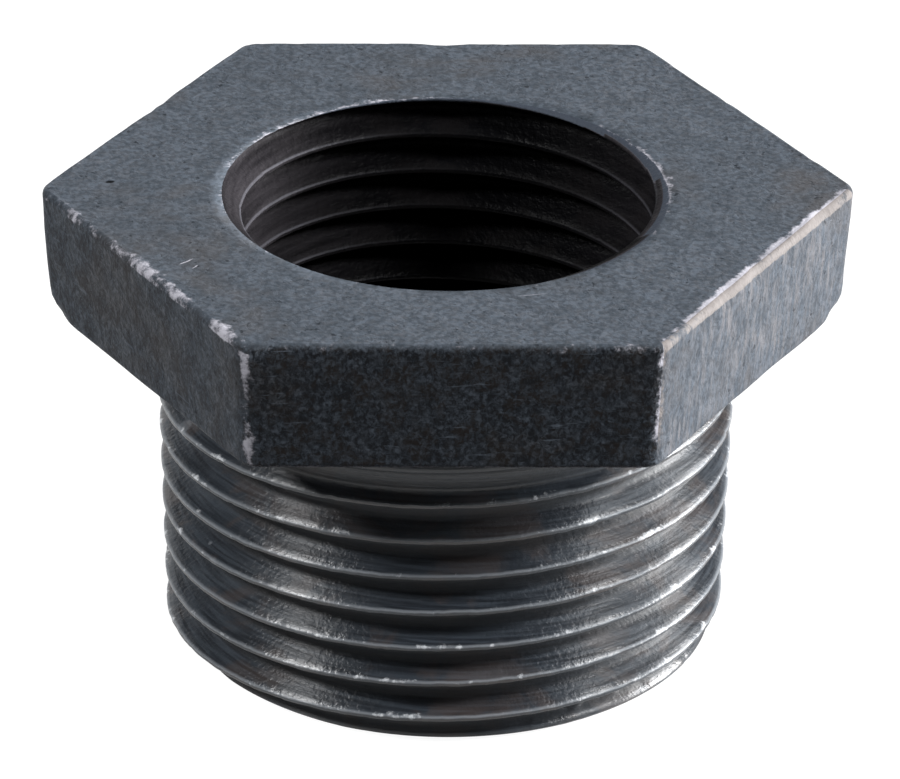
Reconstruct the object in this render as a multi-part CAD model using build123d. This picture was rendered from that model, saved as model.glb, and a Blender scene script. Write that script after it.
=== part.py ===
from build123d import *
from math import ceil, cos, pi, radians, sin, tan
import os

# Hex reducing bushing: a flat drafted hex head on a shank with a tapered pipe
# thread outside, and a parallel pipe thread tapped down through the head.
# It is cast and machined in one piece. Lengths are in millimetres, angles in degrees.
# Frame: +Z runs up the bore from the shank to the head, with two flats of the hex
# facing -Y and +Y. The origin is the centre of the shank's end face.

# Thread form shared by both threads: 55 degree pipe thread, 14 turns to the inch.
thread_pitch = 25.4 / 14
flank_angle = 27.5
thread_depth = 1.162
crest_flat = 0.26

# Hex head, wider at its outer face than at the shank.
across_flats = 32.0
head_height = 6.15
head_draft = 3.3
corner_radius = 1.1
head_rim_round = 0.35
head_foot_round = 0.2

# Threaded shank. The major diameter is taken over the crests' flats at the gauge
# plane, and the die runs out over the vanish length to a neck that keeps only its
# faint mark.
shank_length = 15.6
male_major_diameter = 26.0
gauge_length = 9.5
male_taper = 1 / 16
lead_chamfer_width = 1.05
lead_chamfer_height = 0.75
vanish_length = 3.4
neck_length = 0.9
neck_mark_depth = 0.06

# Tapped bore, and the narrower cored bore below it.
female_minor_diameter = 18.631
tapped_depth = 15.0
tap_lead_height = 2.2
mouth_chamfer = 0.3
cored_bore_diameter = 18.0
bore_end_chamfer = 0.4

# Angle about the axis at which each thread's crest meets its own end of the bushing.
male_start_angle = -30.6
female_start_angle = 75.0

# Points on one turn of a helical edge, and how far cutters run past what they cut.
rail_points = 24
overrun = 1.0

total_height = shank_length + head_height
flank_slope = tan(radians(flank_angle))
floor_flat = thread_pitch - crest_flat - 2 * thread_depth * flank_slope


def male_radius(height):
    return (male_major_diameter + (height - gauge_length) * male_taper) / 2


def male_corners(height):
    # The groove is cut into the tapered shank, to full depth below the vanish length.
    share = (shank_length - neck_length - height) / vanish_length
    depth = neck_mark_depth + (thread_depth - neck_mark_depth) * min(1, max(0, share))
    return thread_corners(height, male_radius(height), depth, -1)


def female_corners(height):
    # The tap's own ridge stands out from its core, so its groove opens outwards.
    return thread_corners(height, female_minor_diameter / 2, thread_depth, 1)


def thread_corners(height, land_radius, depth, side):
    # One pitch of the thread form, rising: the two edges of the land, then the two
    # edges of the floor, which is wider where the cut is shallow.
    floor_height = height + thread_pitch / 2
    floor_half = floor_flat / 2 + (thread_depth - depth) * flank_slope
    floor_radius = land_radius + side * depth
    return [
        (land_radius, height - crest_flat / 2),
        (land_radius, height + crest_flat / 2),
        (floor_radius, floor_height - floor_half),
        (floor_radius, floor_height + floor_half),
    ]


def helical_rail(start_height, start_angle, corner, corners_at):
    # One turn of the helical edge that one corner of the thread form follows.
    points = []
    for step in range(rail_points + 1):
        share = step / rail_points
        radius, height = corners_at(start_height + share * thread_pitch)[corner]
        angle = radians(start_angle) + 2 * pi * share
        points.append((radius * cos(angle), radius * sin(angle), height))
    return Spline(*points).edge()


def ruled_face(first, second):
    return Face.make_surface_from_curves(first, second)


def ramp_face(rail):
    # The one-turn ramp from a helical edge in to the axis.
    axis_line = Line((0, 0, (rail @ 0).Z), (0, 0, (rail @ 1).Z))
    return ruled_face(rail, axis_line.edge())


def step_face(rails, end):
    # The flat step between the two ends of a ramp.
    corners = [rail @ end for rail in rails]
    foot = (0, 0, corners[0].Z)
    top = (0, 0, corners[-1].Z)
    return make_face(Polyline(foot, *corners, top, close=True))


def threaded_rod(start_height, laps, start_angle, corners_at):
    # A solid rod under a helical thread, closed by a ramp and a step at each end.
    corner_count = len(corners_at(start_height))
    rails = []
    for lap in range(laps + 1):
        lap_height = start_height + lap * thread_pitch
        for corner in range(corner_count):
            rails.append(helical_rail(lap_height, start_angle, corner, corners_at))
    rails = rails[: laps * corner_count + 1]
    faces = [ruled_face(low, high) for low, high in zip(rails, rails[1:])]
    faces.append(ramp_face(rails[0]))
    faces.append(ramp_face(rails[-1]))
    faces.append(step_face(rails[: corner_count + 1], 0).face())
    faces.append(step_face(rails[-corner_count - 1 :], 1).face())
    return Solid(Shell(faces))


def laps_past(length):
    # Whole turns that reach past a length, with one more for the ramp at the end.
    return ceil((length + overrun) / thread_pitch) + 1


def revolved(*points):
    return revolve(Plane.XZ * make_face(Polyline(*points, close=True)), Axis.Z)


def threaded_shank():
    # The threaded rod, trimmed to the shank's length and its chamfered lead.
    laps_below = laps_past(0)
    laps = laps_below + laps_past(shank_length)
    rod = threaded_rod(-laps_below * thread_pitch, laps, male_start_angle, male_corners)
    lead_radius = male_radius(0) - lead_chamfer_width
    reach = male_radius(shank_length) + overrun
    lead_top = (reach - lead_radius) * lead_chamfer_height / lead_chamfer_width
    envelope = revolved(
        (0, 0), (lead_radius, 0), (reach, lead_top), (reach, shank_length), (0, shank_length)
    )
    return rod & envelope


def hex_head():
    outline = RegularPolygon(across_flats / 2, 6, major_radius=False)
    outline = fillet(outline.vertices(), corner_radius)
    head = extrude(Plane.XY.offset(total_height) * outline, -head_height, taper=head_draft)
    head = fillet(head.faces().sort_by(Axis.Z)[-1].edges(), head_rim_round)
    return fillet(head.faces().sort_by(Axis.Z)[0].edges(), head_foot_round)


def tapped_space():
    # What the tap cuts away, narrowed at its lower end by the tap's lead.
    laps_below = laps_past(tapped_depth)
    laps = laps_below + laps_past(0)
    start_height = total_height - laps_below * thread_pitch
    rod = threaded_rod(start_height, laps, female_start_angle, female_corners)
    core = cored_bore_diameter / 2
    major = female_minor_diameter / 2 + thread_depth
    tap_end = total_height - tapped_depth
    reach = major + overrun
    lead_top = tap_end + tap_lead_height * (reach - core) / (major - core)
    top = total_height + overrun
    envelope = revolved((0, tap_end), (core, tap_end), (reach, lead_top), (reach, top), (0, top))
    return rod & envelope


def mouth_space():
    # The small chamfer at the mouth of the tapped bore.
    minor = female_minor_diameter / 2
    low = total_height - mouth_chamfer
    top = total_height + overrun
    reach = minor + mouth_chamfer + overrun
    return revolved((0, low), (minor, low), (reach, top), (0, top))


def cored_space():
    # The plain bore through the shank, flared a little at the shank's end face.
    core = cored_bore_diameter / 2
    flare = core + bore_end_chamfer + overrun
    return revolved(
        (0, -overrun), (flare, -overrun), (core, bore_end_chamfer), (core, shank_length), (0, shank_length)
    )


def hex_bushing():
    body = hex_head() + threaded_shank()
    body = body - tapped_space()
    body = body - mouth_space()
    return body - cored_space()


os.makedirs("parts", exist_ok=True)
export_step(hex_bushing(), "parts/hex_bushing.step")
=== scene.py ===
import math

import bmesh
import bpy
from mathutils import Matrix, Vector, noise


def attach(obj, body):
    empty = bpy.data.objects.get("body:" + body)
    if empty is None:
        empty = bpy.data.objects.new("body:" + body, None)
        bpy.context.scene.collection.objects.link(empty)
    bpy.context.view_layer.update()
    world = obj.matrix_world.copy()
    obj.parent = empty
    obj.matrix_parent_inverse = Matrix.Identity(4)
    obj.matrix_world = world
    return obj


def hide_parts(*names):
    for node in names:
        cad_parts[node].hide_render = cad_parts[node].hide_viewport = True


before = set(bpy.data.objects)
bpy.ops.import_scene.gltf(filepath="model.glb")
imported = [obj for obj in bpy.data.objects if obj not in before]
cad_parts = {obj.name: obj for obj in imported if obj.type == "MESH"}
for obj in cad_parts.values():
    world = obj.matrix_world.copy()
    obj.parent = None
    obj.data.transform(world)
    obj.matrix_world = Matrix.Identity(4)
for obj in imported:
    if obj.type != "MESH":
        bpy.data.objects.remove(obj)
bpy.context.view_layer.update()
print("frame loaded")

# sizes are millimetres and degrees until the finished mesh is scaled to metres
threadForm = {
    "pitch": 25.4 / 14,
    "flankSlope": math.tan(math.radians(27.5)),
    "depth": 1.162,
    "crestFlat": 0.2,
    "crestDrop": 0.02,
    "crownShare": 0.6,
    "flankShares": (0.3, 0.6, 0.88),
    "rootShares": (0.08, 0.32, 0.5, 0.68, 0.92),
    "rootRound": 0.13,
    "rootLift": 0.04,
    "edgeAt": 0.4,
    "edgeWidth": 0.09,
    "crestBelow": 0.05,
    "steps": 320,
}

# how near counts as level with a cut, and how near points are merged, in millimetres
nearness = {"level": 0.002, "cut": 0.0005, "seam": 0.001, "trimmed": 0.06, "slack": 0.001}


def clamp(value, low, high):
    return max(low, min(high, value))


def mix(start, end, share):
    return start + (end - start) * share


def angleGap(angle, other):
    # smallest turn between two angles in degrees
    return abs((angle - other + 180) % 360 - 180)


def bell(distance, width):
    return math.exp(-((distance / width) ** 2))


def turnOf(place):
    return math.degrees(math.atan2(place.y, place.x)) % 360


def patchAt(turn, patch):
    # how strong a patch is at a turn; a patch is its angle, spread in degrees and amount
    angle, spread, amount = patch
    return amount * bell(angleGap(turn, angle), spread)


def roughAt(place, size, seed):
    # smooth random value, about -1 to 1, for features of one size
    spot = Vector(place) / size
    spot.z += seed * 17.3
    return noise.noise(spot)


def nickAt(place, nick, seed):
    # 0 on sound metal, up to 1 in a nick, from rough values of two sizes
    coarseSize, fineSize = nick["sizes"]
    coarseShare, fineShare = nick["shares"]
    coarse = roughAt(place, coarseSize, seed) * coarseShare
    fine = roughAt(place, fineSize, seed + 1) * fineShare
    return clamp(coarse + fine - nick["from"], 0, 1)


def vertsOf(edges):
    return {v for e in edges for v in e.verts}


def addLayers(bm, *names):
    return [bm.verts.layers.float.new(name) for name in names]


def addObject(name, data):
    made = bpy.data.objects.new(name, data)
    bpy.context.collection.objects.link(made)
    return made


def pitchProfile():
    # one pitch of the thread as (height, cut), rising from the low edge of the crest
    form = threadForm
    half = form["crestFlat"] / 2
    depth = form["depth"]
    drop = form["crestDrop"]
    run = (depth - drop) * form["flankSlope"]
    floorLow = half + run
    floorHigh = form["pitch"] - half - run
    crown = half * form["crownShare"]
    points = [(-half, drop), (-crown, 0), (crown, 0), (half, drop)]
    flank = [(share, mix(drop, depth, share)) for share in form["flankShares"]]
    points += [(half + run * share, cut) for share, cut in flank]
    for share in form["rootShares"]:
        bottom = form["rootRound"] * math.sin(math.pi * share)
        points.append((mix(floorLow, floorHigh, share), depth - form["rootLift"] + bottom))
    points += [(form["pitch"] - half - run * share, cut) for share, cut in reversed(flank)]
    return points


def spinThread(bm, startHeight, pitches, startAngle, landRadius, side):
    # an upright line of thread profiles, spun once round while it climbs one pitch
    form = threadForm
    line = []
    for lap in range(pitches):
        for height, cut in pitchProfile():
            place = (landRadius + side * cut, 0, startHeight + lap * form["pitch"] + height)
            line.append(bm.verts.new(place))
    edges = [bm.edges.new(pair) for pair in zip(line, line[1:])]
    turn = Matrix.Rotation(math.radians(startAngle), 3, "Z")
    bmesh.ops.rotate(bm, verts=line, cent=(0, 0, 0), matrix=turn)
    bmesh.ops.spin(
        bm,
        geom=line + edges,
        cent=(0, 0, 0),
        axis=(0, 0, 1),
        dvec=(0, 0, form["pitch"] / form["steps"]),
        angle=2 * math.pi,
        steps=form["steps"],
        use_merge=False,
        use_duplicate=False,
    )
    bmesh.ops.remove_doubles(bm, verts=bm.verts[:], dist=nearness["seam"])


def isLevel(vert, height):
    return abs(vert.co.z - height) < nearness["level"]


def levelLoop(bm, height):
    # the open edges that lie at a height
    return [e for e in bm.edges if e.is_boundary and all(isLevel(v, height) for v in e.verts)]


def trimLevel(bm, height, keepAbove):
    # cuts the mesh level at a height and returns the loop of edges left there
    geom = bm.verts[:] + bm.edges[:] + bm.faces[:]
    bmesh.ops.bisect_plane(
        bm,
        geom=geom,
        dist=nearness["cut"],
        plane_co=(0, 0, height),
        plane_no=(0, 0, 1),
        clear_inner=keepAbove,
        clear_outer=not keepAbove,
    )
    loop = [v for v in bm.verts if isLevel(v, height) and v.is_boundary]
    for vert in loop:
        vert.co.z = height
    bmesh.ops.remove_doubles(bm, verts=loop, dist=nearness["trimmed"])
    return levelLoop(bm, height)


def extendLoop(bm, edges):
    # extrudes a loop of edges once and returns the new outer loop
    made = bmesh.ops.extrude_edge_only(bm, edges=edges)["geom"]
    return [e for e in made if isinstance(e, bmesh.types.BMEdge) and e.is_boundary]


shank = {
    "length": 15.6,
    "majorDiameter": 26.0,
    "gaugeLength": 9.5,
    "taper": 1 / 16,
    "leadWidth": 1.05,
    "leadHeight": 0.75,
    "vanishLength": 3.4,
    "neckLength": 0.9,
    "neckMark": 0.06,
    "neckShade": 1.1,
    "plainDepth": 0.7,
    "startAngle": -30.6,
    "spinRadius": 20.0,
    "edgeBreak": 0.04,
    "nick": {"depth": 0.1, "gain": 1.6, "sizes": (0.55, 0.25), "shares": (0.7, 0.5), "from": 0.22},
    "wander": {"coarse": 0.035, "coarseSize": 0.8, "fine": 0.02, "fineSize": 0.3},
    "dieStop": {"angle": 289.5, "reach": 34.0, "low": 13.9, "step": 0.09},
    "dieStopFade": {"angle": 12, "height": 0.3, "least": 0.7, "roughSize": 0.5},
    "endBurr": {"patch": (306.0, 20.0, 0.16), "height": 0.3, "roughSize": 0.45, "more": 0.15},
    "endDent": {"depth": 0.16, "height": 0.5, "roughSize": 0.9, "from": 0.3},
}


def crestMark(place, startAngle):
    # 1 along the upper edge of a crest, falling off within a tenth of a millimetre
    form = threadForm
    turns = (math.degrees(math.atan2(place.y, place.x)) - startAngle) / 360
    lap = place.z / form["pitch"] - turns
    fromCrest = (lap - round(lap)) * form["pitch"]
    return bell(fromCrest - form["crestFlat"] * form["edgeAt"], form["edgeWidth"])


def shankLand(height):
    # radius over the tapered crests
    return (shank["majorDiameter"] + (height - shank["gaugeLength"]) * shank["taper"]) / 2


def shapeShank(bm, crest, depthAndShade):
    # tapers the thread, fades it out below the head and chamfers its lead
    leadRadius = shankLand(0) - shank["leadWidth"]
    leadSlope = shank["leadWidth"] / shank["leadHeight"]
    fullDepth = threadForm["depth"]
    for vert in bm.verts:
        radius = vert.co.xy.length
        height = vert.co.z
        cut = shank["spinRadius"] - radius
        share = (shank["length"] - shank["neckLength"] - height) / shank["vanishLength"]
        depth = mix(shank["neckMark"], fullDepth, clamp(share, 0, 1))
        newCut = cut if depth == fullDepth else min(cut, depth)
        newRadius = shankLand(height) - newCut
        newRadius = min(newRadius, leadRadius + height * leadSlope)
        vert.co.xy *= newRadius / radius
        cutShare = clamp(depth / shank["plainDepth"], 0.2, 1)
        vert[crest] = crestMark(vert.co, shank["startAngle"]) * cutShare
        # painted shade: close under the head the mark is raised, so the neck that the head overhangs
        # is darkened like the roots
        nearHead = bell(shank["length"] - height, shank["neckShade"])
        vert[depthAndShade] = max(clamp(newCut / fullDepth, 0, 1), nearHead)


def wearShank(bm, depthAndShade):
    # nicks the crests, leaves the die's stop mark, and burrs and dents the end
    nick = shank["nick"]
    wander = shank["wander"]
    stop = shank["dieStop"]
    stopFade = shank["dieStopFade"]
    burr = shank["endBurr"]
    dent = shank["endDent"]
    for vert in bm.verts:
        turn = turnOf(vert.co)
        out = Vector((vert.co.x, vert.co.y, 0)).normalized()
        height = vert.co.z
        move = 0
        if vert[depthAndShade] < threadForm["crestBelow"]:
            move -= nick["depth"] * nickAt(vert.co, nick, 1) * nick["gain"]
            coarse = wander["coarse"] * roughAt(vert.co, wander["coarseSize"], 3)
            fine = wander["fine"] * roughAt(vert.co, wander["fineSize"], 4)
            vert.co.z += coarse + fine
        past = (turn - stop["angle"]) % 360
        if past < stop["reach"] and height > stop["low"]:
            fade = clamp((stop["reach"] - past) / stopFade["angle"], 0, 1)
            fade *= clamp((height - stop["low"]) / stopFade["height"], 0, 1)
            rough = roughAt(vert.co, stopFade["roughSize"], 5)
            move += stop["step"] * fade * (stopFade["least"] + rough)
        ragged = clamp(roughAt(vert.co, burr["roughSize"], 6) + burr["more"], 0, 1)
        edge = bell(height - shank["leadHeight"], burr["height"])
        move += patchAt(turn, burr["patch"]) * edge * ragged
        sunk = clamp(roughAt(vert.co, dent["roughSize"], 7) - dent["from"], 0, 1)
        move -= dent["depth"] * sunk * bell(height - shank["leadHeight"], dent["height"])
        vert.co += out * move


def buildShank():
    bm = bmesh.new()
    crest, depthAndShade = addLayers(bm, "crest", "depthAndShade")
    laps = math.ceil(shank["length"] / threadForm["pitch"]) + 4
    spinThread(bm, -2 * threadForm["pitch"], laps, shank["startAngle"], shank["spinRadius"], -1)
    shapeShank(bm, crest, depthAndShade)
    wearShank(bm, depthAndShade)
    trimLevel(bm, shank["edgeBreak"], True)
    trimLevel(bm, shank["length"] - shank["edgeBreak"], False)
    for face in bm.faces:
        face.material_index = 1
    return bm


bore = {
    "minorDiameter": 18.631,
    "tappedDepth": 15.0,
    "leadHeight": 2.2,
    "mouthChamfer": 0.3,
    "coredDiameter": 18.0,
    "endChamfer": 0.4,
    "startAngle": 75.0,
    "coreRings": 3,
    "endRings": 2,
    "endRingStep": 1.0,
    # painted light on the left and right walls of the bore, as angle, spread in degrees and amount,
    # and how it fades towards the tap's end
    "paintedLightLeft": (163.0, 33.0, 1.0),
    "paintedLightRight": (18.0, 24.0, 0.25),
    "paintedLightMost": 0.8,
    "paintedLightFade": 8.0,
    "lipShare": 0.8,
    "lipLeft": 0.4,
    "nick": {"depth": 0.12, "sizes": (0.6, 0.3), "shares": (0.7, 0.5), "from": 0.2},
    "mouthPatches": [(130, 45, 0.5), (12, 30, 0.45)],
    "mouthWear": 0.25,
    "mouthNick": {"depth": 0.018, "sizes": (0.5, 0.22), "shares": (1, 0.5), "from": 0},
}


def shapeBore(bm, top, crest, depthAndShade, paintedLightAndLip):
    # narrows the thread to the tap's lead and the cored bore, opens the mouth and
    # marks painted light on the left and right walls; a mark of 1 is kept for the mouth's lip
    nick = bore["nick"]
    minor = bore["minorDiameter"] / 2
    core = bore["coredDiameter"] / 2
    tapEnd = top - bore["tappedDepth"]
    leadSlope = (minor + threadForm["depth"] - core) / bore["leadHeight"]
    for vert in bm.verts:
        radius = vert.co.xy.length
        height = vert.co.z
        newRadius = min(radius, core + max(0, height - tapEnd) * leadSlope)
        newRadius = max(newRadius, minor + bore["mouthChamfer"] - (top - height))
        vert[crest] = crestMark(vert.co - Vector((0, 0, top)), bore["startAngle"])
        vert[depthAndShade] = clamp((newRadius - minor) / threadForm["depth"], 0, 1)
        turn = turnOf(vert.co)
        left = patchAt(turn, bore["paintedLightLeft"])
        right = patchAt(turn, bore["paintedLightRight"])
        fade = clamp((height - tapEnd) / bore["paintedLightFade"], 0, 1)
        vert[paintedLightAndLip] = bore["paintedLightMost"] * max(left, right) * fade
        if top - height < bore["mouthChamfer"] * bore["lipShare"] + bore["lipLeft"] * left:
            vert[paintedLightAndLip] = 1
        if vert[depthAndShade] < threadForm["crestBelow"]:
            newRadius += nick["depth"] * nickAt(vert.co, nick, 8)
        vert.co.xy *= newRadius / radius


def growCore(bm, edges, start):
    # the plain cored bore, its end chamfer and the inner part of the end face
    core = bore["coredDiameter"] / 2
    chamfer = bore["endChamfer"]
    count = bore["coreRings"]
    rings = [(core, mix(start, chamfer, n / count)) for n in range(1, count + 1)]
    rings.append((core + chamfer * 0.6, chamfer * 0.4))
    rings.append((core + chamfer, 0))
    rings += [(core + chamfer + n * bore["endRingStep"], 0) for n in range(1, bore["endRings"] + 1)]
    for radius, height in rings:
        edges = extendLoop(bm, edges)
        for vert in vertsOf(edges):
            vert.co.xy *= radius / vert.co.xy.length
            vert.co.z = height


def wearMouth(edges, worn):
    # the bore's mouth is nicked and bright on the left and on the right
    nick = bore["mouthNick"]
    for vert in vertsOf(edges):
        turn = turnOf(vert.co)
        bared = sum(patchAt(turn, patch) for patch in bore["mouthPatches"])
        vert[worn] = bore["mouthWear"] + bared
        vert.co.xy *= 1 + nick["depth"] * nickAt(vert.co, nick, 17) * bared


def buildBore(top):
    bm = bmesh.new()
    crest, depthAndShade, paintedLightAndLip = addLayers(bm, "crest", "depthAndShade", "paintedLightAndLip")
    laps = math.ceil(bore["tappedDepth"] / threadForm["pitch"]) + 4
    startHeight = top - (laps - 2) * threadForm["pitch"]
    spinThread(bm, startHeight, laps, bore["startAngle"], bore["minorDiameter"] / 2, 1)
    shapeBore(bm, top, crest, depthAndShade, paintedLightAndLip)
    trimLevel(bm, top, False)
    tapEnd = top - bore["tappedDepth"]
    growCore(bm, trimLevel(bm, tapEnd, True), tapEnd)
    for face in bm.faces:
        face.material_index = 2
    return bm


head = {
    "acrossFlats": 32.0,
    "height": 6.15,
    "draft": 3.3,
    "cornerRadius": 1.1,
    "leastCorner": 0.2,
    "rimRound": 0.35,
    "footRound": 0.2,
    "faceRings": 16,
    "faceCrowding": 1.3,
    "rimRings": 5,
    "sideRings": 14,
    "footRings": 3,
    "underRings": 3,
    "cornerCrowding": 0.8,
    "underRadius": 13.7,
    "faceDust": 0.25,
    "sootRings": 4,
}

# the six cast flats, by the angle that each faces: how far each stands out of true,
# how worn its upper and lower edges are, and how sooty and how dusty its skin is; the soot
# is partly painted shade, heaviest on the front flat and lightest on the flat facing the right key
# lamp
flats = [
    {"faces": 30, "shift": 0.12, "rimWear": 0.3, "footWear": 0.3, "sootAndShade": 0.5, "dust": 0.5},
    {"faces": 90, "shift": -0.02, "rimWear": 0.3, "footWear": 0.3, "sootAndShade": 0.6, "dust": 0.3},
    {"faces": 150, "shift": 0.0, "rimWear": 0.3, "footWear": 0.3, "sootAndShade": 0.55, "dust": 0.3},
    {"faces": 210, "shift": 0.01, "rimWear": 0.4, "footWear": 0.35, "sootAndShade": 0.75, "dust": 0.1},
    {"faces": 270, "shift": 0.0, "rimWear": 0.26, "footWear": 0.6, "sootAndShade": 1.0, "dust": 0.1},
    {"faces": 330, "shift": -0.16, "rimWear": 1.35, "footWear": 0.4, "sootAndShade": 0.2, "dust": 0.9},
]

# rubbed lengths of the upper rim: angle, spread in degrees, amount
rimPatches = [(211, 9, 0.5), (235, 3, 0.7), (222, 3, 0.3)]
rimPatches += [(190, 4, 0.25), (285, 4, 0.25), (296, 3, 0.3)]

# how the wear of the rim varies, and how far it reaches over the face and down the side
rimWear = {"least": 0.75, "rough": 0.5, "roughSize": 2.6}
rimReach = {"face": 0.9, "faceWidth": 0.3, "side": 0.7, "sideWidth": 0.5}

# bare places on the upright corners, by their angle, and how they vary and fade
cornerWear = {0: 0.45, 60: 0.4, 120: 0.4, 180: 0.45, 240: 0.72, 300: 0.6}
cornerFade = {"width": 0.32, "least": 0.85, "rough": 0.9, "roughSize": 1.6}


def hexPoint(angle, inset, corner):
    # where a ray at an angle meets the rounded hexagon of the six uneven flats
    half = head["acrossFlats"] / 2 - inset
    count = len(flats)
    place = round(math.degrees(angle) / 60)
    low = flats[(place - 1) % count]
    high = flats[place % count]
    middle = math.radians(place * 60)
    lowReach = half + low["shift"]
    highReach = half + high["shift"]
    # centre of the corner's arc, from the two flats moved in by its radius
    along = (lowReach + highReach - 2 * corner) / (2 * math.cos(math.radians(30)))
    across = (highReach - lowReach) / (2 * math.sin(math.radians(30)))
    offset = angle - middle
    ray = Vector((math.cos(offset), math.sin(offset)))
    centre = Vector((along, across))
    side = 1 if centre.cross(ray) > 0 else -1
    flatTurn = math.radians(30) * side
    tangent = centre + corner * Vector((math.cos(flatTurn), math.sin(flatTurn)))
    if side * tangent.cross(ray) > 0:
        reach = highReach if side > 0 else lowReach
        radius = reach / math.cos(offset - flatTurn)
    else:
        ahead = centre.dot(ray)
        radius = ahead + math.sqrt(max(0, corner**2 - centre.length_squared + ahead**2))
    return Vector((radius * math.cos(angle), radius * math.sin(angle)))


def crowd(angle):
    # gathers the columns of faces towards the six corners
    return angle - head["cornerCrowding"] / 6 * math.sin(6 * angle)


def headRings(top):
    # rings from the face's edge down the side to the underside: height, inset, kind
    rings = []
    draft = math.radians(head["draft"])
    low = top - head["height"]
    rim = head["rimRound"]
    foot = head["footRound"]
    for index in range(head["rimRings"] + 1):
        turn = (math.pi / 2 - draft) * index / head["rimRings"]
        rings.append((top - rim + rim * math.cos(turn), rim - rim * math.sin(turn), "rim"))
    for index in range(1, head["sideRings"] + 1):
        share = index / head["sideRings"]
        share = share * share * (3 - 2 * share)
        rings.append((mix(top - rim, low + foot, share), 0, "side"))
    for index in range(1, head["footRings"] + 1):
        turn = (math.pi / 2 - draft) * index / head["footRings"]
        rings.append((low + foot - foot * math.sin(turn), foot - foot * math.cos(turn), "foot"))
    return rings


def flatOf(turn):
    return min(flats, key=lambda flat: angleGap(turn, flat["faces"]))


def rimWearAt(place):
    # how bare the upper rim is at a place round the head
    turn = turnOf(place)
    rough = roughAt(place, rimWear["roughSize"], 16)
    amount = flatOf(turn)["rimWear"] * (rimWear["least"] + rimWear["rough"] * rough)
    for patch in rimPatches:
        amount += patchAt(turn, patch)
    return amount


def wearOfCorner(place):
    # how bare an upright corner is, fading from its edge within half a millimetre
    turn = turnOf(place)
    corner = min(cornerWear, key=lambda angle: angleGap(turn, angle))
    away = math.radians(angleGap(turn, corner)) * place.xy.length
    rough = roughAt(place, cornerFade["roughSize"], 10)
    patch = cornerFade["least"] + cornerFade["rough"] * rough
    return cornerWear[corner] * bell(away, cornerFade["width"]) * patch


def buildHead(bm, top):
    draft = math.tan(math.radians(head["draft"]))
    worn, sootAndShade, dust, column = addLayers(bm, "worn", "sootAndShade", "dust", "column")
    edges = levelLoop(bm, top)
    mouth = {}
    for vert in vertsOf(edges):
        angle = math.atan2(vert.co.y, vert.co.x)
        vert[column] = angle
        mouth[round(angle, 4)] = vert.co.copy()
    wearMouth(edges, worn)
    known = set(bm.faces)
    rings = headRings(top)

    def ringPoint(angle, ring):
        height, inset, kind = ring
        corner = max(head["leastCorner"], head["cornerRadius"] - inset)
        point = hexPoint(crowd(angle), inset + (top - height) * draft, corner)
        return Vector((point.x, point.y, height))

    def growRing(place):
        # extrudes the open loop once and puts its new vertices where place says
        grown = extendLoop(bm, edges)
        for vert in vertsOf(grown):
            vert.co = place(vert[column])
            vert[worn] = 0
            vert[sootAndShade] = 0
            vert[dust] = head["faceDust"]
        return grown

    for index in range(1, head["faceRings"] + 1):
        share = 1 - (1 - index / head["faceRings"]) ** head["faceCrowding"]
        edges = growRing(
            lambda angle: mouth[round(angle, 4)].lerp(ringPoint(angle, rings[0]), share)
        )
        for vert in vertsOf(edges):
            fromRim = (ringPoint(vert[column], rings[0]) - vert.co).length
            vert[worn] = rimWearAt(vert.co) * rimReach["face"] * bell(fromRim, rimReach["faceWidth"])
    for index, ring in enumerate(rings[1:]):
        edges = growRing(lambda angle: ringPoint(angle, ring))
        for vert in vertsOf(edges):
            flat = flatOf(turnOf(vert.co))
            # painted shade: the soot laid on each flat is partly painted shade, most on the front flat
            vert[sootAndShade] = flat["sootAndShade"] * min(1, (index + 1) / head["sootRings"])
            vert[dust] = flat["dust"]
            if ring[2] == "rim":
                vert[worn] = rimWearAt(vert.co)
            elif ring[2] == "foot":
                vert[worn] = flat["footWear"]
            else:
                near = bell(top - ring[0], rimReach["sideWidth"]) * rimWearAt(vert.co)
                vert[worn] = max(near * rimReach["side"], wearOfCorner(vert.co))
    low = top - head["height"]
    for index in range(1, head["underRings"] + 1):
        share = index / head["underRings"]

        def under(angle):
            start = ringPoint(angle, rings[-1])
            end = Vector((math.cos(angle), math.sin(angle), 0)) * head["underRadius"]
            spot = start.lerp(end, share)
            spot.z = low
            return spot

        edges = growRing(under)
    for face in bm.faces:
        if face not in known:
            face.material_index = 0


cast = {
    "faceWave": {"depth": 0.035, "level": 0.5, "size": 4.5},
    "sideWave": {"depth": 0.07, "level": 0.45, "size": 3.5},
    "grain": {"depth": 0.012, "size": 0.5},
    "chip": {"depth": 0.3, "sizes": (0.7, 0.3), "shares": (1, 0.4), "from": 0.15},
    "chipMostWear": 0.55,
    "chipReach": {"rims": 1.6, "inward": 0.5},
    "chipMove": {"in": 0.6, "down": 0.8},
    "footReach": {"height": 0.5, "inward": 0.7, "from": 0.4},
    "shankClear": 0.4,
    "faceBand": 0.01,
}

# knocked places on the rim: angle, spread in degrees, depth
chips = [(241, 1.6, 0.5), (329, 1.3, 0.35), (318, 2.0, 0.25)]
chips += [(205, 1.2, 0.2), (352, 2.5, 0.3), (90, 3, 0.15)]

# corners of the lower edge rounded off by knocks: angle, spread in degrees, depth
footKnocks = [(0, 3.0, 0.42), (180, 3.6, 0.45), (62, 2.5, 0.2)]


def waveAt(place, wave, seed):
    # how far the cast skin is sunk at a place, by a broad wave and a fine grain
    grain = cast["grain"]
    fine = grain["depth"] * (1 + roughAt(place, grain["size"], 11))
    return clamp(wave["depth"] * (wave["level"] + roughAt(place, wave["size"], seed)) + fine, 0, 1)


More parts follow.
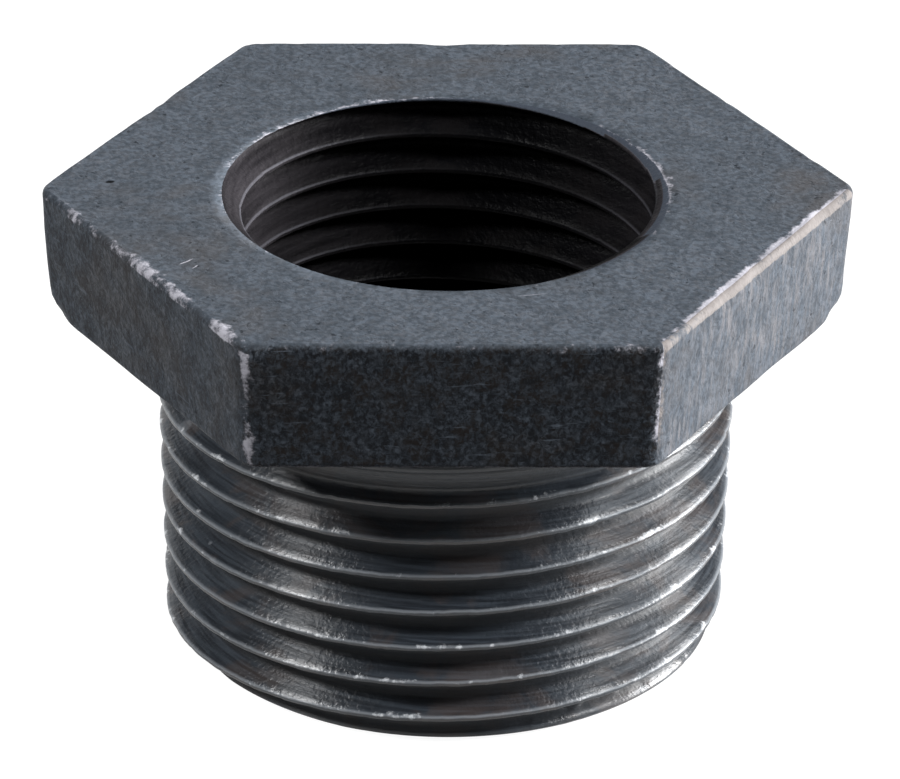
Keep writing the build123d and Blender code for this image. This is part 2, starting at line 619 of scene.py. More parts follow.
def roughenHead(bm, top):
    # sinks the cast skin unevenly, always inwards, and knocks chips out of its rim
    low = top - head["height"]
    chip = cast["chip"]
    chipReach = cast["chipReach"]
    chipMove = cast["chipMove"]
    footReach = cast["footReach"]
    for vert in bm.verts:
        radius = vert.co.xy.length
        height = vert.co.z
        if radius < shankLand(low) + cast["shankClear"] or height < low - nearness["slack"]:
            continue
        inward = Vector((-vert.co.x, -vert.co.y, 0)).normalized()
        turn = turnOf(vert.co)
        outline = hexPoint(math.radians(turn), 0, head["cornerRadius"]).length
        lift = sum(patchAt(turn, knock) for knock in footKnocks)
        within = max(outline - radius - footReach["from"], 0)
        lift *= bell(height - low, footReach["height"]) * bell(within, footReach["inward"])
        vert.co += inward * lift
        if height < low + nearness["slack"]:
            continue
        if height > top - cast["faceBand"]:
            vert.co.z -= waveAt(vert.co, cast["faceWave"], 12)
        else:
            vert.co += inward * waveAt(vert.co, cast["sideWave"], 13)
        edge = bell(top - height, head["rimRound"] * chipReach["rims"])
        edge *= bell(max(outline - radius, 0), chipReach["inward"])
        knock = chip["depth"] * nickAt(vert.co, chip, 14)
        knock *= min(flatOf(turn)["rimWear"], cast["chipMostWear"])
        for place in chips:
            knock += patchAt(turn, place)
        knock *= edge * chipMove["in"]
        vert.co += inward * knock
        vert.co.z -= knock * chipMove["down"]


def joinInto(bm, other):
    mesh = bpy.data.meshes.new("loose")
    other.to_mesh(mesh)
    other.free()
    bm.from_mesh(mesh)
    bpy.data.meshes.remove(mesh)


def buildBushing():
    top = shank["length"] + head["height"]
    bm = buildBore(top)
    buildHead(bm, top)
    roughenHead(bm, top)
    print("bore and head modelled")
    joinInto(bm, buildShank())
    edgeBreak = shank["edgeBreak"]
    for height, step in ((0, edgeBreak), (shank["length"], -edgeBreak)):
        loops = levelLoop(bm, height) + levelLoop(bm, height + step)
        bmesh.ops.bridge_loops(bm, edges=loops)
    bmesh.ops.recalc_face_normals(bm, faces=bm.faces[:])
    openEdges = [e for e in bm.edges if not e.is_manifold]
    triangles = sum(len(f.verts) - 2 for f in bm.faces)
    print("bushing has", triangles, "triangles and", len(openEdges), "open edges")
    bmesh.ops.scale(bm, verts=bm.verts[:], vec=(0.001, 0.001, 0.001))
    mesh = bpy.data.meshes.new("bushingBody")
    bm.to_mesh(mesh)
    bm.free()
    mesh.shade_smooth()
    return addObject("bushingBody", mesh)


def addNode(tree, kind, place, **settings):
    # a node at a place in the editor, with its own settings
    node = tree.nodes.new(kind)
    node.location = place
    for name, value in settings.items():
        setattr(node, name, value)
    return node


def fill(node, **values):
    # sets inputs by name, with _ for a space
    for name, value in values.items():
        node.inputs[name.replace("_", " ")].default_value = value
    return node


def feed(tree, socket, value):
    # links another node's output to a socket, or sets the socket to a plain value
    if isinstance(value, (int, float, tuple)):
        socket.default_value = value
    else:
        tree.links.new(value, socket)


def mathNode(tree, operation, place, first, second, clampOn=False):
    node = addNode(tree, "ShaderNodeMath", place, operation=operation, use_clamp=clampOn)
    feed(tree, node.inputs[0], first)
    feed(tree, node.inputs[1], second)
    return node.outputs[0]


def multiply(tree, place, *values):
    # the product of several values, by a row of nodes
    x, y = place
    total = values[0]
    for index, value in enumerate(values[1:]):
        total = mathNode(tree, "MULTIPLY", (x + 150 * index, y), total, value)
    return total


def mixColour(tree, place, factor, first, second):
    # the colour sockets of the Mix node are its inputs 6 and 7 and its output 2
    node = addNode(tree, "ShaderNodeMix", place, data_type="RGBA")
    feed(tree, node.inputs["Factor"], factor)
    feed(tree, node.inputs[6], first)
    feed(tree, node.inputs[7], second)
    return node.outputs[2]


def layTones(tree, x, colour, *layers):
    # lays tones over a colour, each by its own amount
    for index, (amount, tone) in enumerate(layers):
        colour = mixColour(tree, (x + 100 * index, 300), amount, colour, tone)
    return colour


def rampNode(tree, place, source, low, high, lowValue=0.0, highValue=1.0):
    node = addNode(tree, "ShaderNodeMapRange", place, interpolation_type="SMOOTHSTEP")
    fill(node, From_Min=low, From_Max=high, To_Min=lowValue, To_Max=highValue)
    tree.links.new(source, node.inputs["Value"])
    return node.outputs["Result"]


def newGroup(name, values, results):
    # a shader node group with a Vector input, float inputs with values, and float outputs
    tree = bpy.data.node_groups.new(name, "ShaderNodeTree")
    newSocket = tree.interface.new_socket
    newSocket(name="Vector", in_out="INPUT", socket_type="NodeSocketVector")
    for socketName, value in values.items():
        socket = newSocket(name=socketName, in_out="INPUT", socket_type="NodeSocketFloat")
        socket.default_value = value
    for socketName in results:
        newSocket(name=socketName, in_out="OUTPUT", socket_type="NodeSocketFloat")
    entry = tree.nodes.new("NodeGroupInput")
    entry.location = (-900, 0)
    leave = tree.nodes.new("NodeGroupOutput")
    leave.location = (700, 0)
    return tree, entry, leave


def noiseNode(tree, place, vector, scale, detail=4.0, roughness=0.55, distortion=0.0):
    node = addNode(tree, "ShaderNodeTexNoise", place)
    fill(node, Detail=detail, Roughness=roughness, Distortion=distortion)
    tree.links.new(vector, node.inputs["Vector"])
    feed(tree, node.inputs["Scale"], scale)
    return node


def stretch(tree, place, vector, scale, turn=(0, 0, 0)):
    node = addNode(tree, "ShaderNodeMapping", place)
    node.inputs["Scale"].default_value = scale
    node.inputs["Rotation"].default_value = [math.radians(n) for n in turn]
    tree.links.new(vector, node.inputs["Vector"])
    return node.outputs["Vector"]


def fromScreen(red, green, blue):
    # a colour as a screen shows it, 0 to 255, as Blender's linear colour
    def linear(value):
        share = value / 255
        return share / 12.92 if share <= 0.04045 else ((share + 0.055) / 1.055) ** 2.4

    return (linear(red), linear(green), linear(blue), 1.0)


def screenTones(look):
    return {name: fromScreen(*tone) for name, tone in look["tones"].items()}


def speckGroup():
    # grainy mottle of the metal: a fine speckle, a broad cloud and small pits
    values = {"Fine Scale": 3500.0, "Cloud Scale": 420.0}
    tree, entry, leave = newGroup("metalSpeck", values, ("Speck", "Cloud", "Pits"))
    fine = noiseNode(tree, (-600, 200), entry.outputs["Vector"], entry.outputs["Fine Scale"], 2, 0.6)
    speck = rampNode(tree, (-300, 200), fine.outputs[0], 0.33, 0.67)
    cloudScale = entry.outputs["Cloud Scale"]
    cloud = noiseNode(tree, (-600, -50), entry.outputs["Vector"], cloudScale, 5, 0.6, 0.6)
    cloudMask = rampNode(tree, (-300, -50), cloud.outputs[0], 0.36, 0.66)
    pitScale = multiply(tree, (-700, -300), cloudScale, 3.2)
    pit = noiseNode(tree, (-500, -300), entry.outputs["Vector"], pitScale, 2, 0.5)
    pitMask = rampNode(tree, (-250, -300), pit.outputs[0], 0.66, 0.74)
    tree.links.new(speck, leave.inputs["Speck"])
    tree.links.new(cloudMask, leave.inputs["Cloud"])
    tree.links.new(pitMask, leave.inputs["Pits"])
    return tree


def wearGroup():
    # breaks a worn amount up into bare patches with ragged edges
    values = {"Amount": 0.0, "Scale": 1500.0}
    tree, entry, leave = newGroup("bareMetal", values, ("Bare",))
    ragged = noiseNode(tree, (-600, 0), entry.outputs["Vector"], entry.outputs["Scale"], 5, 0.7)
    spread = mathNode(tree, "SUBTRACT", (-350, 0), ragged.outputs[0], 0.5)
    spread = multiply(tree, (-180, 0), spread, 2.2)
    total = mathNode(tree, "ADD", (0, 0), spread, entry.outputs["Amount"])
    bare = rampNode(tree, (180, 0), total, 0.4, 1.0)
    some = rampNode(tree, (180, -250), entry.outputs["Amount"], 0.02, 0.2)
    bare = multiply(tree, (400, 0), bare, some)
    tree.links.new(bare, leave.inputs["Bare"])
    return tree


def scratchGroup():
    # thin marks that run one way, from noise stretched along them
    values = {"Scale": 300.0, "Rarity": 0.6}
    tree, entry, leave = newGroup("thinMarks", values, ("Marks", "Ridges"))
    lines = noiseNode(tree, (-600, 0), entry.outputs["Vector"], entry.outputs["Scale"], 3, 0.6)
    above = mathNode(tree, "SUBTRACT", (-300, 0), lines.outputs[0], entry.outputs["Rarity"])
    marks = rampNode(tree, (-100, 0), above, 0.0, 0.06)
    tree.links.new(marks, leave.inputs["Marks"])
    tree.links.new(lines.outputs[0], leave.inputs["Ridges"])
    return tree


def strokeGroup():
    # one long thin mark, centred on the mapped vector's origin
    tree, entry, leave = newGroup("oneStroke", {"Ragged": 0.5}, ("Mask",))
    reach = addNode(tree, "ShaderNodeVectorMath", (-600, 0), operation="LENGTH")
    tree.links.new(entry.outputs["Vector"], reach.inputs[0])
    crumbs = noiseNode(tree, (-600, -200), entry.outputs["Vector"], 3.0, 3, 0.6)
    crumbs = multiply(tree, (-350, -200), crumbs.outputs[0], entry.outputs["Ragged"])
    total = mathNode(tree, "ADD", (-150, 0), reach.outputs["Value"], crumbs)
    tree.links.new(rampNode(tree, (100, 0), total, 1.25, 0.85), leave.inputs["Mask"])
    return tree


groups = {"speck": speckGroup(), "wear": wearGroup(), "marks": scratchGroup(), "stroke": strokeGroup()}


def useGroup(tree, name, place, vector, **values):
    node = addNode(tree, "ShaderNodeGroup", place, node_tree=groups[name])
    tree.links.new(vector, node.inputs["Vector"])
    for socketName, value in values.items():
        feed(tree, node.inputs[socketName.replace("_", " ")], value)
    return node


def strokeAt(tree, place, vector, spot, size, turn):
    # a mark at a spot in millimetres, with its length along each of its turned axes
    node = addNode(tree, "ShaderNodeMapping", (place[0] - 200, place[1]), vector_type="TEXTURE")
    node.inputs["Location"].default_value = [n * 0.001 for n in spot]
    node.inputs["Rotation"].default_value = [math.radians(n) for n in turn]
    node.inputs["Scale"].default_value = [n * 0.0005 for n in size]
    tree.links.new(vector, node.inputs["Vector"])
    return useGroup(tree, "stroke", place, node.outputs["Vector"], Ragged=0.5).outputs["Mask"]


def drawStrokes(tree, skin, place, strokes, pale, dark):
    # lays marks over a colour: a strength above 0 is in the pale tone, one below in the dark
    for index, (spot, size, turn, strength) in enumerate(strokes):
        row = -800 - 150 * index
        mask = strokeAt(tree, (-400, row), place, spot, size, turn)
        amount = multiply(tree, (-200, row), mask, abs(strength))
        tone = pale if strength > 0 else dark
        skin = mixColour(tree, (100 + 40 * index, 300), amount, skin, tone)
    return skin


def startMaterial(name):
    material = bpy.data.materials.new(name)
    material.use_nodes = True
    tree = material.node_tree
    shader = tree.nodes["Principled BSDF"]
    shader.location = (900, 0)
    tree.nodes["Material Output"].location = (1200, 0)
    coords = addNode(tree, "ShaderNodeTexCoord", (-1600, 0))
    return material, tree, shader, coords.outputs["Object"]


def dressShader(tree, shader, look, colour, rough, normal):
    tree.links.new(colour, shader.inputs["Base Color"])
    tree.links.new(rough, shader.inputs["Roughness"])
    tree.links.new(normal, shader.inputs["Normal"])
    shader.inputs["Specular IOR Level"].default_value = look["specular"]


def readAttribute(tree, name, place):
    node = addNode(tree, "ShaderNodeAttribute", place, attribute_name=name)
    return node.outputs["Fac"]


def bumpNode(tree, place, height, distance, strength=1.0, normal=None):
    node = addNode(tree, "ShaderNodeBump", place)
    fill(node, Strength=strength, Distance=distance)
    tree.links.new(height, node.inputs["Height"])
    if normal is not None:
        tree.links.new(normal, node.inputs["Normal"])
    return node.outputs["Normal"]


castLook = {
    "tones": {
        "skin": (71, 78, 87),
        "skinDark": (50, 56, 62),
        "skinPale": (93, 101, 111),
        "rust": (81, 76, 73),
        "dust": (117, 115, 117),
        # soot black, also the tone of the painted shade on the flats, of pits and of dark marks
        "sootAndShade": (16, 18, 22),
        "sootBrown": (43, 38, 35),
        "bare": (178, 177, 186),
        "bareBeige": (126, 121, 119),
    },
    "scales": {"fine": 3600.0, "cloud": 900.0, "broad": 130.0, "wear": 2000.0},
    "cloudMost": 0.35,
    "rustMost": 0.45,
    "brownMost": 0.6,
    "pitMost": 0.6,
    "scrapeMost": 0.55,
    "roughness": (0.52, 0.7),
    "specular": 0.08,
    # scratches and pits on the face: spot, size, turn about each axis, strength
    "strokes": [
        ((-11.7, -7.6, 21.75), (0.9, 0.1, 0.6), (0, 0, 40), 0.8),
        ((-11.3, -8.1, 21.75), (0.5, 0.08, 0.6), (0, 0, 52), 0.6),
        ((-15.2, 0.6, 21.75), (0.5, 0.32, 0.6), (0, 0, 20), -1.0),
        ((3.5, -10.9, 21.75), (1.6, 0.07, 0.6), (0, 0, 12), 0.35),
        ((-6.0, -12.2, 21.75), (3.2, 0.1, 0.6), (0, 0, 35), -0.35),
    ],
}


def castSkin():
    tones = screenTones(castLook)
    scales = castLook["scales"]
    material, tree, shader, place = startMaterial("castSkin")
    speck = useGroup(
        tree, "speck", (-1300, 300), place, Fine_Scale=scales["fine"], Cloud_Scale=scales["cloud"]
    )
    broad = noiseNode(tree, (-1300, 0), place, scales["broad"], 5, 0.65, 0.4)
    upright = stretch(tree, (-1500, -300), place, (4200, 4200, 3400))
    mottle = noiseNode(tree, (-1300, -300), upright, 1.0, 3, 0.7, 0.5)
    streaks = stretch(tree, (-1500, -450), place, (3400, 3400, 700))
    streaky = noiseNode(tree, (-1300, -450), streaks, 1.0, 4, 0.7)
    sootAndShade = readAttribute(tree, "sootAndShade", (-1300, -600))
    dust = readAttribute(tree, "dust", (-1300, -700))
    crossed = stretch(tree, (-1500, -750), place, (450, 450, 4200), (22, 38, 0))
    scrapes = useGroup(tree, "marks", (-1300, -800), crossed, Scale=1.0, Rarity=0.65)
    worn = readAttribute(tree, "worn", (-1300, -900))
    bare = useGroup(tree, "wear", (-1000, -900), place, Amount=worn, Scale=scales["wear"])

    grainy = speck.outputs["Speck"]
    cloud = speck.outputs["Cloud"]
    colour = mixColour(tree, (-900, 300), grainy, tones["skinDark"], tones["skinPale"])
    skin = mixColour(tree, (-700, 300), 0.5, colour, tones["skin"])
    cloudAmount = rampNode(tree, (-900, 100), cloud, 0.0, 1.0, 0.0, castLook["cloudMost"])
    rustAmount = rampNode(tree, (-900, -50), broad.outputs[0], 0.5, 0.7, 0.0, castLook["rustMost"])
    # dust lies in upright streaks and in broad faint patches
    dustStreak = rampNode(tree, (-1100, -450), streaky.outputs[0], 0.38, 0.7, 0.1, 1.0)
    dustPatch = rampNode(tree, (-1100, -550), broad.outputs[0], 0.34, 0.62, 0.95, 0.35)
    dustAmount = multiply(tree, (-900, -500), dustStreak, dustPatch, dust)
    mottleMask = rampNode(tree, (-1250, -300), mottle.outputs[0], 0.38, 0.72, 1.0, 0.1)
    cloudy = rampNode(tree, (-1250, -380), streaky.outputs[0], 0.45, 0.72, 1.0, 0.72)
    # the soot and its painted shade end raggedly where they thin out over the rim
    ragged = rampNode(tree, (-1100, -200), mottle.outputs[0], 0.3, 0.7, -0.5, 0.5)
    sootAndShadeEdge = mathNode(tree, "ADD", (-950, -200), ragged, sootAndShade)
    sootAndShadeEdge = rampNode(tree, (-850, -200), sootAndShadeEdge, 0.1, 0.5)
    # painted shade with real soot: the side flats are darkened by their soot amounts
    sootAndShadeAmount = multiply(tree, (-1100, -300), mottleMask, cloudy, sootAndShade, sootAndShadeEdge)
    brownAmount = rampNode(tree, (-900, -200), cloud, 0.2, 1.0, 0.0, castLook["brownMost"])
    sootAndShadeColour = mixColour(tree, (-500, 100), brownAmount, tones["sootAndShade"], tones["sootBrown"])
    pits = speck.outputs["Pits"]
    pitAmount = multiply(tree, (-700, -650), pits, castLook["pitMost"])
    marked = scrapes.outputs["Marks"]
    scrapeAmount = multiply(tree, (-1000, -750), marked, sootAndShade, castLook["scrapeMost"])
    skin = layTones(
        tree,
        -500,
        skin,
        (cloudAmount, tones["skinDark"]),
        (rustAmount, tones["rust"]),
        (dustAmount, tones["dust"]),
        (sootAndShadeAmount, sootAndShadeColour),
        (pitAmount, tones["sootAndShade"]),
        (scrapeAmount, tones["skinPale"]),
    )
    skin = drawStrokes(tree, skin, place, castLook["strokes"], tones["bare"], tones["sootAndShade"])
    beige = rampNode(tree, (200, 100), dust, 0.35, 0.9)
    bareTone = mixColour(tree, (300, 100), beige, tones["bare"], tones["bareBeige"])
    skin = mixColour(tree, (500, 300), bare.outputs["Bare"], skin, bareTone)

    rough = rampNode(tree, (300, 0), cloud, 0.0, 1.0, *castLook["roughness"])
    height = mathNode(tree, "SUBTRACT", (0, -300), grainy, pits)
    normal = bumpNode(tree, (300, -300), height, 0.00002, 0.6)
    normal = bumpNode(tree, (500, -300), cloud, 0.00006, 0.5, normal)
    dressShader(tree, shader, castLook, skin, rough, normal)
    return material


threadLook = {
    "tones": {
        "steel": (51, 57, 64),
        "steelDark": (29, 32, 37),
        "steelPale": (80, 86, 93),
        "brown": (84, 70, 62),
        # burnished metal for the crests and pale scratches; on the crests it is partly painted
        # highlight
        "polished": (146, 151, 157),
        "bare": (196, 199, 203),
        # painted shade in the roots and under the head; also the dark of the dark scratches
        "line": (20, 22, 26),
    },
    "scales": {"fine": 3500.0, "cloud": 300.0, "nicks": 700.0, "wear": 2600.0},
    "polishAndHighlightMost": 0.48,
    "paleMost": 0.35,
    "brownMost": 0.26,
    "paintedLineMost": 0.52,
    "roughness": (0.3, 0.4),
    "deepDull": 0.3,
    "specular": 0.6,
    "brushed": 0.85,
    "brushedTurn": 0.25,
    # long scratches down the shank: spot, size, turn about each axis, strength
    "strokes": [
        ((-11.9, -5.2, 12.0), (0.9, 0.9, 6.0), (-24, 8, 0), 0.22),
        ((-12.1, -4.6, 7.5), (0.5, 0.5, 7.0), (-20, 5, 0), -0.5),
        ((-11.0, -6.9, 8.0), (0.35, 0.35, 4.0), (30, -18, 0), 0.35),
        ((-10.6, -7.4, 6.5), (0.7, 0.7, 2.4), (40, -12, 0), 0.25),
    ],
}


def cutThread():
    tones = screenTones(threadLook)
    scales = threadLook["scales"]
    material, tree, shader, place = startMaterial("cutThread")
    turned = stretch(tree, (-1500, 300), place, (260, 260, 11000))
    marks = useGroup(tree, "marks", (-1300, 300), turned, Scale=1.0, Rarity=0.6)
    broadTurned = stretch(tree, (-1500, 100), place, (220, 220, 2600))
    broad = noiseNode(tree, (-1300, 100), broadTurned, 1.0, 4, 0.6)
    speck = useGroup(
        tree, "speck", (-1300, -150), place, Fine_Scale=scales["fine"], Cloud_Scale=scales["cloud"]
    )
    crest = readAttribute(tree, "crest", (-1300, -500))
    depthAndShade = readAttribute(tree, "depthAndShade", (-1300, -650))
    nicked = noiseNode(tree, (-1500, -500), place, scales["nicks"], 3, 0.6)
    nickAmount = rampNode(tree, (-1300, -400), nicked.outputs[0], 0.48, 0.66, 0.1, 0.8)
    crestAmount = multiply(tree, (-1150, -500), crest, nickAmount)
    bare = useGroup(tree, "wear", (-1000, -500), place, Amount=crestAmount, Scale=scales["wear"])
    # partly burnished wear and partly painted highlight: the upper edge of each crest, where it
    # catches the lamps, is laid in the polished tone
    polishAndHighlight = rampNode(tree, (-1000, -350), crest, 0.6, 1.0, 0.0, threadLook["polishAndHighlightMost"])

    streak = rampNode(tree, (-1000, 300), marks.outputs["Ridges"], 0.3, 0.7)
    skin = mixColour(tree, (-800, 300), streak, tones["steelDark"], tones["steel"])
    paleMost = threadLook["paleMost"]
    paleAmount = rampNode(tree, (-1000, 100), broad.outputs[0], 0.5, 0.75, 0.0, paleMost)
    brownMost = threadLook["brownMost"]
    brownAmount = rampNode(tree, (-1000, -150), speck.outputs["Cloud"], 0.4, 1.0, 0.0, brownMost)
    # painted shade: the roots of the thread and the neck under the head are darkened in the line tone
    shade = rampNode(tree, (-800, -650), depthAndShade, 0.7, 1.0, 0.0, threadLook["paintedLineMost"])
    skin = layTones(
        tree,
        -600,
        skin,
        (paleAmount, tones["steelPale"]),
        (brownAmount, tones["brown"]),
        (shade, tones["line"]),
    )
    skin = drawStrokes(tree, skin, place, threadLook["strokes"], tones["polished"], tones["line"])
    skin = mixColour(tree, (350, 300), polishAndHighlight, skin, tones["polished"])
    skin = mixColour(tree, (550, 300), bare.outputs["Bare"], skin, tones["bare"])

    rough = rampNode(tree, (200, 0), streak, 0.0, 1.0, *threadLook["roughness"])
    dull = rampNode(tree, (200, -150), depthAndShade, 0.75, 1.0, 0.0, threadLook["deepDull"])
    rough = mathNode(tree, "ADD", (400, 0), rough, dull)
    # turned marks draw the lamps' highlights out across them
    shader.inputs["Anisotropic"].default_value = threadLook["brushed"]
    shader.inputs["Anisotropic Rotation"].default_value = threadLook["brushedTurn"]
    around = addNode(tree, "ShaderNodeTangent", (600, -600), direction_type="RADIAL", axis="Z")
    tree.links.new(around.outputs[0], shader.inputs["Tangent"])
    normal = bumpNode(tree, (300, -300), marks.outputs["Ridges"], 0.00004, 0.5)
    normal = bumpNode(tree, (500, -300), speck.outputs["Speck"], 0.00002, 0.4, normal)
    dressShader(tree, shader, threadLook, skin, rough, normal)
    return material


boreLook = {
    "tones": {
        # the bore's skin is painted near black: painted shade inside the bore
        "dark": (1, 1, 2),
        "shadedIron": (8, 8, 10),
        "brown": (10, 8, 9),
        # painted light on the walls of the bore
        "paintedLightAndLip": (68, 65, 69),
        "lip": (66, 72, 82),
        "bare": (150, 150, 160),
    },
    "scales": {"fine": 3000.0, "cloud": 350.0, "wear": 1800.0},
    "brownMost": 0.6,
    "paintedLineMost": 0.22,
    "roughness": (0.45, 0.65),
    "specular": 0.06,
}


def boreSkin():
    tones = screenTones(boreLook)
    scales = boreLook["scales"]
    material, tree, shader, place = startMaterial("boreSkin")
    speck = useGroup(
        tree, "speck", (-1300, 100), place, Fine_Scale=scales["fine"], Cloud_Scale=scales["cloud"]
    )
    turned = stretch(tree, (-1500, 300), place, (150, 150, 5000))
    marks = useGroup(tree, "marks", (-1300, 300), turned, Scale=1.0, Rarity=0.6)
    crest = readAttribute(tree, "crest", (-1300, -300))
    worn = readAttribute(tree, "worn", (-1300, -450))
    paintedLightAndLip = readAttribute(tree, "paintedLightAndLip", (-1300, -150))
    # painted highlight: crest lines on the walls with painted light are laid in the bare tone
    crestLine = rampNode(tree, (-1150, -300), crest, 0.7, 1.0, 0.0, 2.6)
    crestAmount = mathNode(tree, "MULTIPLY", (-1000, -300), crestLine, paintedLightAndLip, True)
    bare = useGroup(tree, "wear", (-800, -400), place, Amount=worn, Scale=scales["wear"])
    ridges = marks.outputs["Ridges"]
    cloud = speck.outputs["Cloud"]
    # painted shade: the skin of the bore is laid nearly black
    skin = mixColour(tree, (-800, 300), ridges, tones["dark"], tones["shadedIron"])
    brownAmount = rampNode(tree, (-900, 50), cloud, 0.3, 1.0, 0.0, boreLook["brownMost"])
    # painted light: the left and right walls of the bore are laid paler, in streaks along the turned
    # marks
    paintedLightStreak = rampNode(tree, (-1000, 450), ridges, 0.3, 0.7, 0.35, 1.0)
    paintedLightAmount = multiply(tree, (-800, 450), paintedLightStreak, paintedLightAndLip)
    crestHighlightAmount = multiply(tree, (-700, -250), crestAmount, boreLook["paintedLineMost"])
    # only the mouth's lip has a mark near 1; the walls' painted light stays below it
    lipAmount = rampNode(tree, (-600, -150), paintedLightAndLip, 0.86, 0.98)
    skin = layTones(
        tree,
        -500,
        skin,
        (brownAmount, tones["brown"]),
        (paintedLightAmount, tones["paintedLightAndLip"]),
        (crestHighlightAmount, tones["bare"]),
        (lipAmount, tones["lip"]),
        (bare.outputs["Bare"], tones["bare"]),
    )
    rough = rampNode(tree, (100, 0), cloud, 0.0, 1.0, *boreLook["roughness"])
    normal = bumpNode(tree, (300, -300), speck.outputs["Speck"], 0.00004, 0.6)
    normal = bumpNode(tree, (500, -300), ridges, 0.00004, 0.5, normal)
    dressShader(tree, shader, boreLook, skin, rough, normal)
    return material


bushing = buildBushing()
for material in (castSkin(), cutThread(), boreSkin()):
    bushing.data.materials.append(material)
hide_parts("hex_bushing")
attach(bushing, "root")
print("bushing dressed")

# where the camera looks from, and how far it slides across its own view, in millimetres
view = {
    "elevation": 26.781,
    "azimuth": -1.365,
    "roll": 0.712,
    "distance": 367.78,
    "sensor": 36,
    "lens": 36 * 8185.9 / 900,
    "slide": (0.0733, -9.0639),
    "aim": (0, 0, 21.75),
}


def placeCamera():
    elevation = math.radians(view["elevation"])
    azimuth = math.radians(view["azimuth"])
    roll = math.radians(view["roll"])
    level = math.cos(elevation)
    back = Vector((math.sin(azimuth) * level, -math.cos(azimuth) * level, math.sin(elevation)))
    right = Vector((math.cos(azimuth), math.sin(azimuth), 0))
    up = back.cross(right)
    turnedRight = math.cos(roll) * right + math.sin(roll) * up
    turnedUp = math.cos(roll) * up - math.sin(roll) * right
    slideX, slideY = view["slide"]
    place = back * view["distance"] + turnedRight * slideX + turnedUp * slideY
    place += Vector(view["aim"])
    cameraData = bpy.data.cameras.new("camera")
    cameraData.lens = view["lens"]
    cameraData.sensor_width = view["sensor"]
    cameraData.clip_start = 0.01
    camera = addObject("camera", cameraData)
    turn = Matrix((turnedRight, turnedUp, back)).transposed().to_4x4()
    camera.matrix_world = Matrix.Translation(place * 0.001) @ turn
    bpy.context.scene.camera = camera


placeCamera()

studio = {
    "floorSize": 1.5,
    "floorGap": 0.00003,
    "ceilingFrom": 0.35,
    "ceilingFade": 0.2,
    "floorGlow": 0.93,
    "floorPaint": (0.16, 0.16, 0.16, 1),
    "floorBounce": (0.02, 0.02, 0.022, 1),
    "worldLight": (0.02, 0.021, 0.023, 1),
    "lampAim": (0, 0, 0.012),
}


def seenDirectly(tree, place):
    # 1 where the camera sees the backdrop, also in a mirror or through glass
    path = addNode(tree, "ShaderNodeLightPath", place)
    x, y = place
    rays = path.outputs
    seen = mathNode(tree, "MAXIMUM", (x + 200, y), rays["Is Camera Ray"], rays["Is Glossy Ray"])
    return mathNode(tree, "MAXIMUM", (x + 400, y), seen, rays["Is Transmission Ray"])


def layFloor():
    bm = bmesh.new()
    bmesh.ops.create_grid(bm, x_segments=1, y_segments=1, size=studio["floorSize"])
    bmesh.ops.translate(bm, verts=bm.verts[:], vec=(0, 0, -studio["floorGap"]))
    mesh = bpy.data.meshes.new("floor")
    bm.to_mesh(mesh)
    bm.free()
    floor = addObject("floor", mesh)
    material = bpy.data.materials.new("floorWhite")
    material.use_nodes = True
    tree = material.node_tree
    tree.nodes.clear()
    output = addNode(tree, "ShaderNodeOutputMaterial", (900, 0))
    glow = addNode(tree, "ShaderNodeEmission", (0, 100))
    fill(glow, Strength=studio["floorGlow"])
    paint = addNode(tree, "ShaderNodeBsdfDiffuse", (0, -100))
    fill(paint, Color=studio["floorPaint"])
    shown = addNode(tree, "ShaderNodeAddShader", (200, 0))
    bounce = addNode(tree, "ShaderNodeBsdfDiffuse", (200, -200))
    fill(bounce, Color=studio["floorBounce"])
    choose = addNode(tree, "ShaderNodeMixShader", (500, 0))
    tree.links.new(seenDirectly(tree, (-400, 300)), choose.inputs[0])
    # from below the floor is clear, so that the underside can be seen
    below = addNode(tree, "ShaderNodeNewGeometry", (300, 400))
    clear = addNode(tree, "ShaderNodeBsdfTransparent", (500, -200))
    chosen = addNode(tree, "ShaderNodeMixShader", (680, 0))
    tree.links.new(below.outputs["Backfacing"], chosen.inputs[0])
    joins = [(glow, shown, 0), (paint, shown, 1), (bounce, choose, 1), (shown, choose, 2)]
    joins += [(choose, chosen, 1), (clear, chosen, 2), (chosen, output, 0)]
    for source, target, index in joins:
        tree.links.new(source.outputs[0], target.inputs[index])
    mesh.materials.append(material)


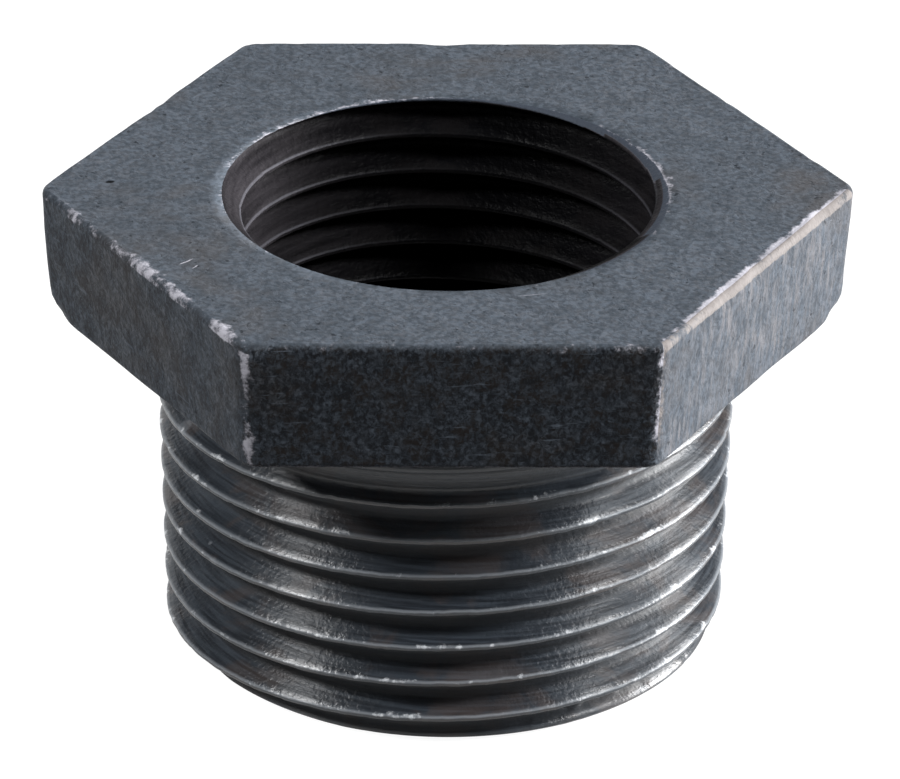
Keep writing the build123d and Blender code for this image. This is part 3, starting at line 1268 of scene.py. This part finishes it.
def lightWorld():
    # a white backdrop all round; above it the studio's ceiling is dark to reflections
    world = bpy.data.worlds.new("world")
    bpy.context.scene.world = world
    world.use_nodes = True
    tree = world.node_tree
    path = addNode(tree, "ShaderNodeLightPath", (-1000, 0))
    coords = addNode(tree, "ShaderNodeTexCoord", (-1200, -300))
    upward = addNode(tree, "ShaderNodeSeparateXYZ", (-1000, -300))
    tree.links.new(coords.outputs["Generated"], upward.inputs[0])
    high = studio["ceilingFrom"]
    low = high - studio["ceilingFade"]
    backdrop = rampNode(tree, (-800, -300), upward.outputs["Z"], high, low)
    rays = path.outputs
    mirrored = multiply(tree, (-600, -150), backdrop, rays["Is Glossy Ray"])
    seen = mathNode(tree, "MAXIMUM", (-600, 0), rays["Is Camera Ray"], rays["Is Transmission Ray"])
    seen = mathNode(tree, "MAXIMUM", (-450, 0), seen, mirrored)
    colour = mixColour(tree, (-300, 0), seen, studio["worldLight"], (1.0, 1.0, 1.0, 1.0))
    tree.links.new(colour, tree.nodes["Background"].inputs["Color"])


# soft lamps: turn about the object and rise in degrees, distance and size in metres, watts
lamps = {
    "rightKey": {"turn": 10, "rise": 10, "away": 0.45, "size": (0.22, 0.2), "power": 5.8},
    "rightBand": {"turn": 338, "rise": 39, "away": 0.45, "size": (0.1, 0.1), "power": 1.7},
    "leftBand": {"turn": 200, "rise": 40, "away": 0.45, "size": (0.08, 0.1), "power": 1.8},
}


def hangLamps():
    aim = Vector(studio["lampAim"])
    for name, lamp in lamps.items():
        data = bpy.data.lights.new(name, "AREA")
        data.shape = "RECTANGLE"
        data.size, data.size_y = lamp["size"]
        data.energy = lamp["power"]
        light = addObject(name, data)
        turn = math.radians(lamp["turn"])
        rise = math.radians(lamp["rise"])
        level = math.cos(rise)
        toward = Vector((math.cos(turn) * level, math.sin(turn) * level, math.sin(rise)))
        place = aim + toward * lamp["away"]
        faced = toward.to_track_quat("Z", "Y").to_matrix().to_4x4()
        light.matrix_world = Matrix.Translation(place) @ faced


layFloor()
lightWorld()
hangLamps()
bpy.context.scene.view_settings.view_transform = "Standard"
print("studio set")
